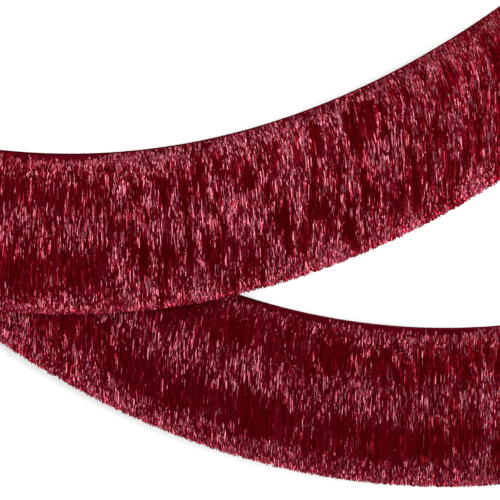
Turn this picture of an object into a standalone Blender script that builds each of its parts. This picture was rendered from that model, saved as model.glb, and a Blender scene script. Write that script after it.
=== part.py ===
# Fringe banner: one length of metallic tinsel fringe, draped over hooks in two tiers.
# Metres, +Z up. Seen square-on, looking along +Y, the upper tier hangs in front.
# The tiers meet at the left in a fold that turns round an upright hook or peg.
# The origin is the middle of that fold, level with the highest point of the cord.
# A place on the banner is a run along the header, a depth down the strands
# from the middle of the cord, and an offset through the fringe's thickness.

import math
import random
from itertools import pairwise

import bmesh
import bpy
from mathutils import Matrix, Vector

# The drape
TIER_SPAN = 0.706  # level distance from the fold to the end of each tier
UPPER_RISE = 0.223  # height of the upper tier's end above the fold
LOWER_DROP = 0.205  # depth of the lower tier's end below the fold
SAG_RADIUS = 0.8125  # radius of the header at the lowest point of a tier
TIER_SPACING = 0.022  # between the middles of the two tiers

# The cord that carries the banner
CORD_RADIUS = 0.0012
CORD_TAIL = 0.005  # how far it passes the ends of the heading
SEAT_GAP = 0.0003  # between pieces that rest on each other

# The heading: the strands folded over the cord and sewn flat below it
HEADING_WALL = 0.0009
HEADING_DEPTH = 0.0085  # from the middle of the cord to the heading's lower edge
PINCH_DEPTH = 0.0036  # where its two sides come together under the cord
BARE_DEPTH = 0.0064  # down to here its sides are flat and bare, for tape at the back
HEM_WALL = 0.0008  # at its lower edge, where the stitches press it thinner
LINING_GAP = 0.0006  # between those two sides

# The row of chain stitch along each side of the heading
STITCH_DEPTH = 0.0072
STITCH_WIDTH = 0.0009
STITCH_THICKNESS = 0.0005

# The fringe
STRAND_LENGTH = 0.1985  # from the middle of the cord to the tips
FALL_LENGTH = 0.050  # over which a strand bends from square-on to plumb
GATHER_LENGTH = 0.060  # header beside the fold whose strands lean with the fold
FOLD_LEAN = math.radians(-12)  # the strands in the fold lean away from the tiers
LAYER_THICKNESS = 0.0044
HINGE_GAP = 0.0005  # between the heading and the strands that swing below it
SECTION_GAP = 0.001  # between the tops of strands that swing apart
TIP_GAP = 0.0032  # between their tips, which close up when they swing
TIP_NOTCH = 0.005  # how much shorter the strands in a hollow are
TIP_RAGGED = 0.003  # how unevenly the locks are cut
SECTIONS = 7  # parts of each tier that swing by themselves
FLUTES = 8  # locks across one section
FOLD_FLUTES = 3
ROW_SHARES = (0, 0.012, 0.06, 0.25, 0.62, 1)
THICKNESS_SHARES = (0.13, 0.45, 0.8, 1, 1, 0.85)
RELIEF_SHARES = (0.6, 0.8, 1, 1, 1, 1)  # how much of the locks' relief shows at each row
HOLLOW_SHARE = 0.52  # thickness of a hollow beside that of the fullest lock
LEAST_LOCK_SHARE = 0.78
LEAST_SWELL_SHARE = 0.8  # how much thinner a lock gets here and there down its length
LOCK_SHIFT_SHARE = 0.3  # how far a lock stands off its even place, beside a column's width

# The hanging loop whipped to each end of the cord
SLEEVE_START = 0.001
SLEEVE_LENGTH = 0.009
SLEEVE_WALL = 0.0006
LOOP_LENGTH = 0.022
LOOP_WIDTH = 0.0095
LOOP_TAPER = 1.5  # how slowly its two legs part

# How finely round and curved forms are drawn
HEADER_SEGMENTS = 26
FOLD_SEGMENTS = 8
ARCH_SEGMENTS = 4
LINING_SEGMENTS = 8
FALL_STEPS = 24
LOOP_SEGMENTS = 12
SLEEVE_SEGMENTS = 4
CORD_BEVEL = 2
SHARP_ANGLE = math.radians(50)

FOLD_RADIUS = TIER_SPACING / 2
FOLD_RUN = math.pi * FOLD_RADIUS
LINING_RADIUS = (CORD_RADIUS + SEAT_GAP) / math.cos(math.pi / LINING_SEGMENTS)
ARCH_RADIUS = LINING_RADIUS + HEADING_WALL
SIDE_INSIDE = LINING_GAP / 2
SIDE_OUTSIDE = SIDE_INSIDE + HEADING_WALL
LOOP_PITCH = 2 * CORD_RADIUS + SEAT_GAP


class Tier:
    # One draped length of the header: a catenary in its own upright plane.

    def __init__(self, plane, fold_height, rise):
        reach = 2 * SAG_RADIUS * math.sinh(TIER_SPAN / (2 * SAG_RADIUS))
        self.plane = plane
        self.low_x = TIER_SPAN / 2 - SAG_RADIUS * math.asinh(rise / reach)
        self.fold_arc = -SAG_RADIUS * math.sinh(self.low_x / SAG_RADIUS)
        far_arc = SAG_RADIUS * math.sinh((TIER_SPAN - self.low_x) / SAG_RADIUS)
        self.length = far_arc - self.fold_arc
        self.low_height = fold_height - self.height_over_low(self.fold_arc)

    def height_over_low(self, arc):
        return math.hypot(SAG_RADIUS, arc) - SAG_RADIUS

    def slope(self, run):
        return (self.fold_arc + run) / SAG_RADIUS

    def middle(self, run):
        arc = self.fold_arc + run
        x = self.low_x + SAG_RADIUS * math.asinh(arc / SAG_RADIUS)
        return Vector((x, self.plane, self.low_height + self.height_over_low(arc)))

    def lean(self, run):
        # Square to the header, except that it follows the fold's lean beside it.
        share = min(run / GATHER_LENGTH, 1)
        square = math.atan(self.slope(run))
        return FOLD_LEAN + (square - FOLD_LEAN) * share * share * (3 - 2 * share)

    def across(self, run):
        return Vector((0, 1, 0))


class Fold:
    # The half turn that joins the tiers, from the front one to the back one.

    def __init__(self, start_slope, end_slope):
        self.length = FOLD_RUN
        self.start_slope = start_slope
        self.bend = (end_slope - start_slope) / FOLD_RUN
        crest = -max(start_slope, 0) ** 2 / (2 * self.bend)
        self.start_height = -crest

    def height(self, run):
        return self.start_height + self.start_slope * run + self.bend * run * run / 2

    def middle(self, run):
        across = self.across(run) * FOLD_RADIUS
        return Vector((across.x, across.y, self.height(run)))

    def lean(self, run):
        return FOLD_LEAN

    def across(self, run):
        angle = run / FOLD_RADIUS
        return Vector((-math.sin(angle), -math.cos(angle), 0))


def slope_beside_fold(rise):
    # The slope of a tier where it leaves the fold.
    return Tier(0, 0, rise).slope(0)


def strand_path(lean, depth):
    # A strand lies straight in the heading, then bends until it hangs plumb.
    straight = min(depth, HEADING_DEPTH)
    step = (depth - straight) / FALL_STEPS
    x = straight * math.sin(lean)
    z = -straight * math.cos(lean)
    for number in range(FALL_STEPS):
        angle = lean * math.exp(-(number + 0.5) * step / FALL_LENGTH)
        x += step * math.sin(angle)
        z -= step * math.cos(angle)
    return Vector((x, 0, z))


def place(path, run, depth, offset):
    return path.middle(run) + strand_path(path.lean(run), depth) + path.across(run) * offset


def runs_along(first, last, count):
    return [first + (last - first) * number / count for number in range(count + 1)]


def add_material(name, color, roughness, metallic):
    made = bpy.data.materials.new(name)
    made.use_nodes = True
    shader = made.node_tree.nodes["Principled BSDF"]
    shader.inputs["Base Color"].default_value = (*color, 1)
    shader.inputs["Roughness"].default_value = roughness
    shader.inputs["Metallic"].default_value = metallic
    made.diffuse_color = (*color, 1)
    return made


def add_object(name, data, material, pivot=None):
    data.materials.append(material)
    made = bpy.data.objects.new(name, data)
    bpy.context.scene.collection.objects.link(made)
    if pivot:
        data.transform(pivot.matrix_world.inverted())
        made.parent = pivot
    return made


def mesh_from(form, name):
    bmesh.ops.recalc_face_normals(form, faces=form.faces)
    mesh = bpy.data.meshes.new(name)
    form.to_mesh(mesh)
    form.free()
    mesh.shade_smooth()
    mesh.set_sharp_from_angle(angle=SHARP_ANGLE)
    return mesh


def add_loft(form, path, runs, outline):
    # Carries a closed outline of (offset, depth) points along the header.
    rings = []
    for run in runs:
        ring = [place(path, run, depth, offset) for offset, depth in outline]
        rings.append([form.verts.new(point) for point in ring])
    for near, far in pairwise(rings):
        for corner in range(len(outline)):
            form.faces.new((near[corner], near[corner - 1], far[corner - 1], far[corner]))
    form.faces.new(rings[0])
    form.faces.new(reversed(rings[-1]))


def arc_points(radius, first, last, count):
    angles = runs_along(first, last, count)
    return [(radius * math.cos(angle), -radius * math.sin(angle)) for angle in angles]


def heading_outline():
    # An arch over the cord, with two sides pinched flat together below it.
    slot_angle = math.asin(SIDE_INSIDE / LINING_RADIUS) - math.pi / 2
    arch = arc_points(ARCH_RADIUS, 0, math.pi, ARCH_SEGMENTS)
    lining = arc_points(LINING_RADIUS, math.pi - slot_angle, slot_angle, LINING_SEGMENTS)
    left = [
        (-SIDE_OUTSIDE, PINCH_DEPTH),
        (-SIDE_OUTSIDE, BARE_DEPTH),
        (-SIDE_INSIDE - HEM_WALL, HEADING_DEPTH),
        (-SIDE_INSIDE, HEADING_DEPTH),
    ]
    right = [(-offset, depth) for offset, depth in reversed(left)]
    return arch + left + lining + right


def add_heading(name, path, segments, material):
    form = bmesh.new()
    runs = runs_along(SEAT_GAP / 2, path.length - SEAT_GAP / 2, segments)
    add_loft(form, path, runs, heading_outline())
    return add_object(name, mesh_from(form, name), material)


def add_stitching(name, path, segments, side, material):
    form = bmesh.new()
    runs = runs_along(SEAT_GAP, path.length - SEAT_GAP, segments)
    near = side * (SIDE_OUTSIDE + SEAT_GAP)
    far = near + side * STITCH_THICKNESS
    top = STITCH_DEPTH - STITCH_WIDTH / 2
    bottom = STITCH_DEPTH + STITCH_WIDTH / 2
    add_loft(form, path, runs, [(near, top), (far, top), (far, bottom), (near, bottom)])
    return add_object(name, mesh_from(form, name), material)


def add_tube(name, points, material):
    curve = bpy.data.curves.new(name, "CURVE")
    curve.dimensions = "3D"
    curve.bevel_depth = CORD_RADIUS
    curve.bevel_resolution = CORD_BEVEL
    curve.use_fill_caps = True
    spline = curve.splines.new("POLY")
    spline.points.add(len(points) - 1)
    for target, point in zip(spline.points, points):
        target.co = (*point, 1)
    spline.use_smooth = True
    return add_object(name, curve, material)


def past_end(tier, along, down, across=0):
    # A place beyond the far end of a tier, in line with the header there.
    slope = math.atan(tier.slope(tier.length))
    level = along * math.cos(slope) + down * math.sin(slope)
    height = along * math.sin(slope) - down * math.cos(slope)
    return tier.middle(tier.length) + Vector((level, across, height))


def add_header_cord(upper, fold, lower, material):
    tier_runs = runs_along(0, 1, HEADER_SEGMENTS)
    front = [upper.middle(share * upper.length) for share in reversed(tier_runs)]
    turn = [fold.middle(run) for run in runs_along(0, FOLD_RUN, FOLD_SEGMENTS)]
    back = [lower.middle(share * lower.length) for share in tier_runs]
    first = past_end(upper, CORD_TAIL, 0)
    last = past_end(lower, CORD_TAIL, 0)
    return add_tube("header_cord", [first, *front, *turn[1:-1], *back, last], material)


def add_end_loop(name, tier, material):
    # A teardrop of the same cord, its two legs lying side by side in the whipping.
    mouth = SLEEVE_START + SLEEVE_LENGTH
    upper_side = []
    for angle in runs_along(0, math.pi, LOOP_SEGMENTS):
        along = mouth + LOOP_LENGTH * (1 - math.cos(angle)) / 2
        half = LOOP_PITCH / 2 * math.cos(angle / 2) ** 2
        half += LOOP_WIDTH * math.sin(angle) * math.sin(angle / 2) ** LOOP_TAPER
        upper_side.append((along, half))
    lower_side = [(along, -half) for along, half in reversed(upper_side[:-1])]
    ends = [(CORD_TAIL + SEAT_GAP, LOOP_PITCH / 2), (SLEEVE_START + SEAT_GAP, -LOOP_PITCH / 2)]
    outline = [ends[0], *upper_side, *lower_side, ends[1]]
    points = [past_end(tier, along, LOOP_PITCH / 2 - up) for along, up in outline]
    return add_tube(name, points, material)


def add_whipping(name, tier, material):
    # A short sleeve of wound thread that holds the end of the cord and the loop.
    radius = CORD_RADIUS + SEAT_GAP + SLEEVE_WALL / 2
    arch = arc_points(radius, 0, math.pi, SLEEVE_SEGMENTS)
    belly = [(-across, LOOP_PITCH - down) for across, down in arch]
    form = bmesh.new()
    around = [past_end(tier, SLEEVE_START, down, across) for across, down in arch + belly]
    ring = [form.verts.new(point) for point in around]
    edges = [form.edges.new((ring[number - 1], ring[number])) for number in range(len(ring))]
    drawn = bmesh.ops.extrude_edge_only(form, edges=edges)["geom"]
    drawn = [item for item in drawn if isinstance(item, bmesh.types.BMVert)]
    axis = past_end(tier, SLEEVE_LENGTH, 0) - past_end(tier, 0, 0)
    bmesh.ops.translate(form, vec=axis, verts=drawn)
    made = add_object(name, mesh_from(form, name), material)
    wall = made.modifiers.new("wall", "SOLIDIFY")
    wall.thickness = SLEEVE_WALL
    wall.offset = 0
    wall.use_even_offset = True
    return made


def lock_shares(column, luck):
    # How thick one column of a layer is at each row. Locks stand out at odd columns,
    # swell and thin on their way down, and hollows part them.
    crest = luck.uniform(LEAST_LOCK_SHARE, 1) if column % 2 else HOLLOW_SHARE
    shares = []
    for full, relief in zip(THICKNESS_SHARES, RELIEF_SHARES):
        swell = luck.uniform(LEAST_SWELL_SHARE, 1)
        shares.append(full * (1 - relief * (1 - crest * swell)))
    return shares


def column_shares(columns, luck):
    # Where the columns of a layer stand, as shares of its width: unevenly, but for the ends.
    inner = range(1, columns)
    shifts = [luck.uniform(-LOCK_SHIFT_SHARE, LOCK_SHIFT_SHARE) for column in inner]
    return [0, *((column + shift) / columns for column, shift in zip(inner, shifts)), 1]


def add_layer(name, path, first, last, side, flutes, material, pivot):
    # One layer of strands from one parting in the fringe to the next:
    # in locks outside, plain inside and ragged along the tips.
    columns = 2 * flutes
    rows = len(ROW_SHARES) - 1
    luck = random.Random(name)
    spots = column_shares(columns, luck)
    thick = [lock_shares(column, luck) for column in range(columns + 1)]
    notch = [TIP_NOTCH * (1 - column % 2) for column in range(columns + 1)]
    cut = [luck.uniform(0, TIP_RAGGED) + shorter for shorter in notch]
    form = bmesh.new()
    bmesh.ops.create_grid(form, x_segments=columns, y_segments=rows, size=0.5)
    inside = form.faces[:]
    raised = bmesh.ops.extrude_face_region(form, geom=inside, use_keep_orig=True)["geom"]
    outside = {item for item in raised if isinstance(item, bmesh.types.BMVert)}
    top = HEADING_DEPTH + HINGE_GAP
    for vert in form.verts:
        column = round((vert.co.x + 0.5) * columns)
        row = round((0.5 - vert.co.y) * rows)
        offset = SIDE_INSIDE
        if vert in outside:
            offset += LAYER_THICKNESS * thick[column][row]
        margin = (SECTION_GAP + (TIP_GAP - SECTION_GAP) * ROW_SHARES[row]) / 2
        run = first + margin + (last - first - 2 * margin) * spots[column]
        depth = top + (STRAND_LENGTH - top - cut[column]) * ROW_SHARES[row]
        vert.co = place(path, run, depth, side * offset)
    if isinstance(path, Tier):
        bmesh.ops.dissolve_faces(form, faces=inside)
    return add_object(name, mesh_from(form, name), material, pivot)


def add_pivot(name, origin, axis):
    # An empty on a hinge, with its X along the axis.
    made = bpy.data.objects.new(name, None)
    forward = Vector((0, -1, 0)) if abs(axis.y) < 0.5 else Vector((-1, 0, 0))
    upward = axis.cross(forward)
    turned = Matrix((axis, forward, upward)).transposed().to_4x4()
    made.matrix_world = Matrix.Translation(origin) @ turned
    bpy.context.scene.collection.objects.link(made)
    bpy.context.view_layer.update()
    return made


def add_section(name, tier, number, material):
    # Two layers that swing together about the lower edge of the heading.
    pitch = tier.length / SECTIONS
    first = pitch * number
    last = first + pitch
    near = place(tier, first, HEADING_DEPTH, 0)
    far = place(tier, last, HEADING_DEPTH, 0)
    crown = place(tier, (first + last) / 2, HEADING_DEPTH, 0)
    origin = (near + far) / 4 + crown / 2
    pivot = add_pivot(f"{name}_hinge", origin, (near - far).normalized())
    for side, layer in ((-1, "front"), (1, "back")):
        add_layer(f"{name}_{layer}", tier, first, last, side, FLUTES, material, pivot)


def add_fold_fringe(fold, material):
    # The strands round the fold swing outwards from their outermost edge.
    top_thickness = LAYER_THICKNESS * THICKNESS_SHARES[0]
    origin = place(fold, FOLD_RUN / 2, HEADING_DEPTH, SIDE_INSIDE + top_thickness)
    pivot = add_pivot("fringe_fold_hinge", origin, Vector((0, 1, 0)))
    for side, layer in ((1, "outer"), (-1, "inner")):
        add_layer(f"fringe_fold_{layer}", fold, 0, FOLD_RUN, side, FOLD_FLUTES, material, pivot)


def build():
    for existing in list(bpy.data.objects):
        bpy.data.objects.remove(existing)

    foil = add_material("burgundy_foil", (0.27, 0.004, 0.022), 0.28, 1)
    heading_foil = add_material("folded_foil", (0.21, 0.006, 0.022), 0.38, 1)
    cord = add_material("cord_yarn", (0.075, 0.006, 0.012), 0.75, 0)
    thread = add_material("sewing_thread", (0.12, 0.008, 0.018), 0.6, 0)
    whipping = add_material("whipping_thread", (0.09, 0.007, 0.015), 0.65, 0)

    fold = Fold(-slope_beside_fold(UPPER_RISE), slope_beside_fold(-LOWER_DROP))
    upper = Tier(-FOLD_RADIUS, fold.height(0), UPPER_RISE)
    lower = Tier(FOLD_RADIUS, fold.height(FOLD_RUN), -LOWER_DROP)

    add_header_cord(upper, fold, lower, cord)
    for name, path, segments, sides in (
        ("upper", upper, HEADER_SEGMENTS, ("front", "back")),
        ("fold", fold, FOLD_SEGMENTS, ("inner", "outer")),
        ("lower", lower, HEADER_SEGMENTS, ("front", "back")),
    ):
        add_heading(f"heading_{name}", path, segments, heading_foil)
        for side, where in zip((-1, 1), sides):
            add_stitching(f"stitching_{name}_{where}", path, segments, side, thread)
    for name, tier in (("upper", upper), ("lower", lower)):
        add_end_loop(f"end_loop_{name}", tier, cord)
        add_whipping(f"whipping_{name}", tier, whipping)
        for number in range(SECTIONS):
            add_section(f"fringe_{name}_{number + 1}", tier, number, foil)
    add_fold_fringe(fold, foil)


build()
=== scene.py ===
import math

import bpy
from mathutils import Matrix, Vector
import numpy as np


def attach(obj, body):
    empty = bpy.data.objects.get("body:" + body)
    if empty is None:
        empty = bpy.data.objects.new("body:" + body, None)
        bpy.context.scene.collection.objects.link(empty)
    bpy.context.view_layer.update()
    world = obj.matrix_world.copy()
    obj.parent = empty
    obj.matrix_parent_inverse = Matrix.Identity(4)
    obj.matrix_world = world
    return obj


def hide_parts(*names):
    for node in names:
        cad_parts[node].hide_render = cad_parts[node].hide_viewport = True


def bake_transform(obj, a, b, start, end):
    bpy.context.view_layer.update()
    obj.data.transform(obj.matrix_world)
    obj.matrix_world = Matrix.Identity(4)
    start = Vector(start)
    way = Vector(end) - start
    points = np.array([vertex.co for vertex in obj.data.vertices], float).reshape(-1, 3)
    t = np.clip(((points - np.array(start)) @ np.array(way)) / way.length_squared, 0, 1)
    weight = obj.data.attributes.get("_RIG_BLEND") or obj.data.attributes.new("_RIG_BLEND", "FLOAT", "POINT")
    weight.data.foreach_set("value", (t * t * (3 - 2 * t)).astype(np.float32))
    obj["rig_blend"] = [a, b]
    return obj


# Looks of the tinsel fringe banner: every strand of foil is a strip of its own.
# A place on the banner is a run along the header, a depth down the strands and
# an offset through the fringe, as in the part's own source.

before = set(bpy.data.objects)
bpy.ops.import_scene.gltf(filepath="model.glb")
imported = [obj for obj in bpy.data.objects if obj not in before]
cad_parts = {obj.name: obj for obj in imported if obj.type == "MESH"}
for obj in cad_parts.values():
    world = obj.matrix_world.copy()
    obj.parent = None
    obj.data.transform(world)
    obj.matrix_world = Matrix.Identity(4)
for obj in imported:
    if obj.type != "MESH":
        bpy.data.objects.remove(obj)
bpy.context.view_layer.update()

banner = {
    "span": 0.706,          # level distance from the fold to the end of a tier
    "upperRise": 0.223,
    "lowerDrop": 0.205,
    "sagRadius": 0.8125,
    "foldRadius": 0.011,
    "gather": 0.060,        # header beside the fold that leans with it
    "foldLean": math.radians(-12),
    "sections": 7,
    "headingDepth": 0.0085,
    "strandLength": 0.1985,
    "fallLength": 0.050,    # over which a strand bends to plumb
    "looseSlope": 0.02,     # slope from which loose strands fall across the heading
    "looseOver": 0.05,
    "foldSteep": 0.2,
    "guideStep": 0.003,     # between the points of the lines that the strands grow on
    "cordStep": 0.002,
}


# the drape, worked out as the part's source does

class Tier:
    # one length of the header: a catenary in its own upright plane

    def __init__(self, plane, foldHeight, rise):
        sag, span = banner["sagRadius"], banner["span"]
        self.sag = sag
        reach = 2 * sag * math.sinh(span / (2 * sag))
        self.plane = plane
        self.lowX = span / 2 - sag * math.asinh(rise / reach)
        self.foldArc = -sag * math.sinh(self.lowX / sag)
        self.length = sag * math.sinh((span - self.lowX) / sag) - self.foldArc
        self.lowHeight = foldHeight - self.overLow(self.foldArc)

    def overLow(self, arc):
        return math.hypot(self.sag, arc) - self.sag

    def slope(self, run):
        return (self.foldArc + run) / self.sag

    def middle(self, run):
        arc = self.foldArc + run
        x = self.lowX + self.sag * math.asinh(arc / self.sag)
        return Vector((x, self.plane, self.lowHeight + self.overLow(arc)))

    def lean(self, run):
        share = min(max(run / banner["gather"], 0), 1)
        square = math.atan(self.slope(run))
        return banner["foldLean"] + (square - banner["foldLean"]) * share * share * (3 - 2 * share)

    def outward(self, run):
        return Vector((0, 1, 0))

    def loose(self, run):
        # past the low point the header climbs, and loose strands fall across its band
        share = min(max((self.slope(run) - banner["looseSlope"]) / banner["looseOver"], 0), 1)
        return share * share * (3 - 2 * share)

    def steep(self, run):
        # how steeply the header comes down from the fold
        return -self.slope(run)


class Fold:
    # the half turn that joins the tiers round the hook

    def __init__(self, firstSlope, lastSlope):
        self.radius = banner["foldRadius"]
        self.length = math.pi * self.radius
        self.firstSlope = firstSlope
        self.bend = (lastSlope - firstSlope) / self.length
        self.start = max(firstSlope, 0) ** 2 / (2 * self.bend)

    def height(self, run):
        return self.start + self.firstSlope * run + self.bend * run * run / 2

    def middle(self, run):
        spot = self.outward(run) * self.radius
        return Vector((spot.x, spot.y, self.height(run)))

    def lean(self, run):
        return banner["foldLean"]

    def outward(self, run):
        angle = run / self.radius
        return Vector((-math.sin(angle), -math.cos(angle), 0))

    def loose(self, run):
        return 0

    def steep(self, run):
        return banner["foldSteep"]


def slopeBesideFold(rise):
    return Tier(0, 0, rise).slope(0)


fold = Fold(-slopeBesideFold(banner["upperRise"]), slopeBesideFold(-banner["lowerDrop"]))
upper = Tier(-fold.radius, fold.height(0), banner["upperRise"])
lower = Tier(fold.radius, fold.height(fold.length), -banner["lowerDrop"])
paths = {"upper": upper, "fold": fold, "lower": lower}


def pastEnd(tier, along, down):
    # a place beyond the far end of a tier, in line with the header there
    slope = math.atan(tier.slope(tier.length))
    level = along * math.cos(slope) + down * math.sin(slope)
    height = along * math.sin(slope) - down * math.cos(slope)
    return tier.middle(tier.length) + Vector((level, 0, height))


# node maths

class Field:
    # a number in a node tree, so that node maths reads as sums

    def __init__(self, tree, socket):
        self.tree, self.socket = tree, socket

    def math(self, operation, *others):
        node = self.tree.nodes.new("ShaderNodeMath")
        node.operation = operation
        for number, value in enumerate((self, *others)):
            plug(self.tree, value, node.inputs[number])
        return Field(self.tree, node.outputs[0])

    def __add__(self, other):
        return self.math("ADD", other)

    def __radd__(self, other):
        return self.math("ADD", other)

    def __sub__(self, other):
        return self.math("SUBTRACT", other)

    def __rsub__(self, other):
        return Field(self.tree, other).math("SUBTRACT", self)

    def __mul__(self, other):
        return self.math("MULTIPLY", other)

    def __rmul__(self, other):
        return self.math("MULTIPLY", other)

    def __truediv__(self, other):
        return self.math("DIVIDE", other)

    def __neg__(self):
        return self.math("MULTIPLY", -1)

    def sin(self):
        return self.math("SINE")

    def cos(self):
        return self.math("COSINE")

    def exp(self):
        return self.math("EXPONENT")

    def power(self, other):
        return self.math("POWER", other)

    def atLeast(self, other):
        return self.math("MAXIMUM", other)

    def atMost(self, other):
        return self.math("MINIMUM", other)

    def within(self):
        return self.atLeast(0).atMost(1)

    def smooth(self, low, high):
        share = ((self - low) / (high - low)).within()
        return share * share * (3 - 2 * share)

    def blendTo(self, other, share):
        return self + (other - self) * share


def plug(tree, value, socket):
    if isinstance(value, Field):
        value = value.socket
    if isinstance(value, bpy.types.NodeSocket):
        tree.links.new(value, socket)
    else:
        socket.default_value = value


def socketOf(sockets, key):
    if isinstance(key, int):
        return sockets[key]
    return next((socket for socket in sockets if socket.identifier == key), None) or sockets[key]


def addNode(tree, kind, inputs=None, **settings):
    node = tree.nodes.new(kind)
    for key, value in settings.items():
        setattr(node, key, value)
    for key, value in (inputs or {}).items():
        plug(tree, value, socketOf(node.inputs, key))
    return node


def newTree(name, inputs):
    # inputs is a list of (name, kind of socket, value)
    tree = bpy.data.node_groups.new(name, "GeometryNodeTree")
    tree.interface.new_socket("Guide", in_out="INPUT", socket_type="NodeSocketGeometry")
    tree.interface.new_socket("Geometry", in_out="OUTPUT", socket_type="NodeSocketGeometry")
    for label, kind, value in inputs:
        socket = tree.interface.new_socket(label, in_out="INPUT", socket_type="NodeSocket" + kind)
        if value is not None:
            socket.default_value = value
    entry, leave = tree.nodes.new("NodeGroupInput"), tree.nodes.new("NodeGroupOutput")
    given = {label: entry.outputs[label] for label, kind, value in inputs}
    for label, kind, value in inputs:
        if kind in ("Float", "Int"):
            given[label] = Field(tree, entry.outputs[label])
    return tree, entry.outputs["Guide"], given, leave.inputs["Geometry"]


def stored(tree, geometry, name, kind, value, domain="POINT"):
    node = addNode(tree, "GeometryNodeStoreNamedAttribute", data_type=kind, domain=domain)
    plug(tree, geometry, node.inputs["Geometry"])
    plug(tree, name, node.inputs["Name"])
    plug(tree, value, node.inputs["Value"])
    return node.outputs["Geometry"]


def named(tree, name, kind="FLOAT"):
    node = addNode(tree, "GeometryNodeInputNamedAttribute", {"Name": name}, data_type=kind)
    socket = node.outputs["Attribute"]
    return Field(tree, socket) if kind == "FLOAT" else socket


def luck(tree, low, high, who, seed):
    node = addNode(tree, "FunctionNodeRandomValue", {"Min_001": low, "Max_001": high}, data_type="FLOAT")
    plug(tree, who, node.inputs["ID"])
    plug(tree, seed, node.inputs["Seed"])
    return Field(tree, socketOf(node.outputs, "Value_001"))


def vector(tree, x, y, z):
    return addNode(tree, "ShaderNodeCombineXYZ", {"X": x, "Y": y, "Z": z}).outputs[0]


def vectorMath(tree, operation, one, other, number=0):
    node = addNode(tree, "ShaderNodeVectorMath", operation=operation)
    plug(tree, one, node.inputs[0])
    plug(tree, other, node.inputs["Scale"] if operation == "SCALE" else node.inputs[1])
    return node.outputs[number]


def scaled(tree, direction, factor):
    return vectorMath(tree, "SCALE", direction, factor)


def summed(tree, *vectors):
    total = vectors[0]
    for other in vectors[1:]:
        total = vectorMath(tree, "ADD", total, other)
    return total


def parted(tree, value):
    # the three numbers of a vector
    node = addNode(tree, "ShaderNodeSeparateXYZ", {0: value})
    return [Field(tree, node.outputs[axis]) for axis in "XYZ"]


def here(tree):
    return addNode(tree, "GeometryNodeInputPosition").outputs[0]


def noise(tree, x, y, z, detail=1.0):
    # smooth noise, opened out to reach from about -1 to 1
    spread = 2.6
    where = vector(tree, x, y, z)
    node = addNode(tree, "ShaderNodeTexNoise", {"Vector": where, "Scale": 1.0, "Detail": detail})
    return (Field(tree, node.outputs["Fac"]) - 0.5) * spread


guideValues = (("outward", "FLOAT_VECTOR"), ("lean", "FLOAT"), ("loose", "FLOAT"), ("steep", "FLOAT"))


def alongGuide(tree, guide, factor):
    # the guide's place, outward direction, lean and looseness at a share of its length
    curve = addNode(tree, "GeometryNodeMeshToCurve", {"Mesh": guide}).outputs[0]
    found = {}
    for name, kind in guideValues:
        node = addNode(tree, "GeometryNodeSampleCurve", data_type=kind, mode="FACTOR")
        plug(tree, curve, node.inputs["Curves"])
        plug(tree, named(tree, name, kind), node.inputs["Value"])
        plug(tree, factor, node.inputs["Factor"])
        found[name] = node.outputs["Value"]
    found["root"] = node.outputs["Position"]
    return found


def scattered(tree, guide, count, seed, template):
    # copies of the template, one at each root along the guide, with the guide's values on them
    points = addNode(tree, "GeometryNodePoints", {"Count": count}).outputs[0]
    index = Field(tree, addNode(tree, "GeometryNodeInputIndex").outputs[0])
    share = (index + luck(tree, 0.0, 1.0, index, seed)) / count
    found = alongGuide(tree, guide, share)
    points = stored(tree, points, "strand", "FLOAT", index)
    for name, kind in (("root", "FLOAT_VECTOR"), *guideValues):
        points = stored(tree, points, name, kind, found[name])
    placed = addNode(tree, "GeometryNodeInstanceOnPoints", {"Points": points, "Instance": template})
    return addNode(tree, "GeometryNodeRealizeInstances", {"Geometry": placed.outputs[0]}).outputs[0]


def strip(tree, rows):
    # a flat strip one face wide, that knows how far down and on which edge each corner is
    grid = addNode(tree, "GeometryNodeMeshGrid", {"Vertices X": 2, "Size X": 2.0, "Size Y": 1.0})
    plug(tree, rows + 1, grid.inputs["Vertices Y"])
    x, y = parted(tree, here(tree))[:2]
    geometry = stored(tree, grid.outputs[0], "edge", "FLOAT", x)
    return stored(tree, geometry, "down", "FLOAT", 0.5 - y)


def moved(tree, geometry, position):
    return addNode(tree, "GeometryNodeSetPosition", {"Geometry": geometry, "Position": position}).outputs[0]


def finished(tree, geometry, film, leave, smooth=True):
    shade = addNode(tree, "GeometryNodeSetShadeSmooth", {"Geometry": geometry, "Shade Smooth": smooth})
    realized = addNode(tree, "GeometryNodeRealizeInstances", {"Geometry": shade.outputs[0]}).outputs[0]
    coated = addNode(tree, "GeometryNodeSetMaterial", {"Geometry": realized, "Material": film}).outputs[0]
    tree.links.new(coated, leave)


def planAt(tree, root):
    # a place along the banner for noise, not the same on the two tiers
    planeShare = 0.7
    x, y = parted(tree, root)[:2]
    return x + y * planeShare


def hangAt(tree, outward, angle):
    # the way down along a strand that leans by an angle, and the way along the header beside it
    hang = vector(tree, angle.sin(), 0.0, -angle.cos())
    return hang, vectorMath(tree, "CROSS_PRODUCT", hang, outward)


def ownLine(tree, strand, edge, seed):
    # a strand's own narrow line on the film's map
    return luck(tree, 0.0, 0.985, strand, seed + 12) + (edge + 1) * 0.0075


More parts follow.
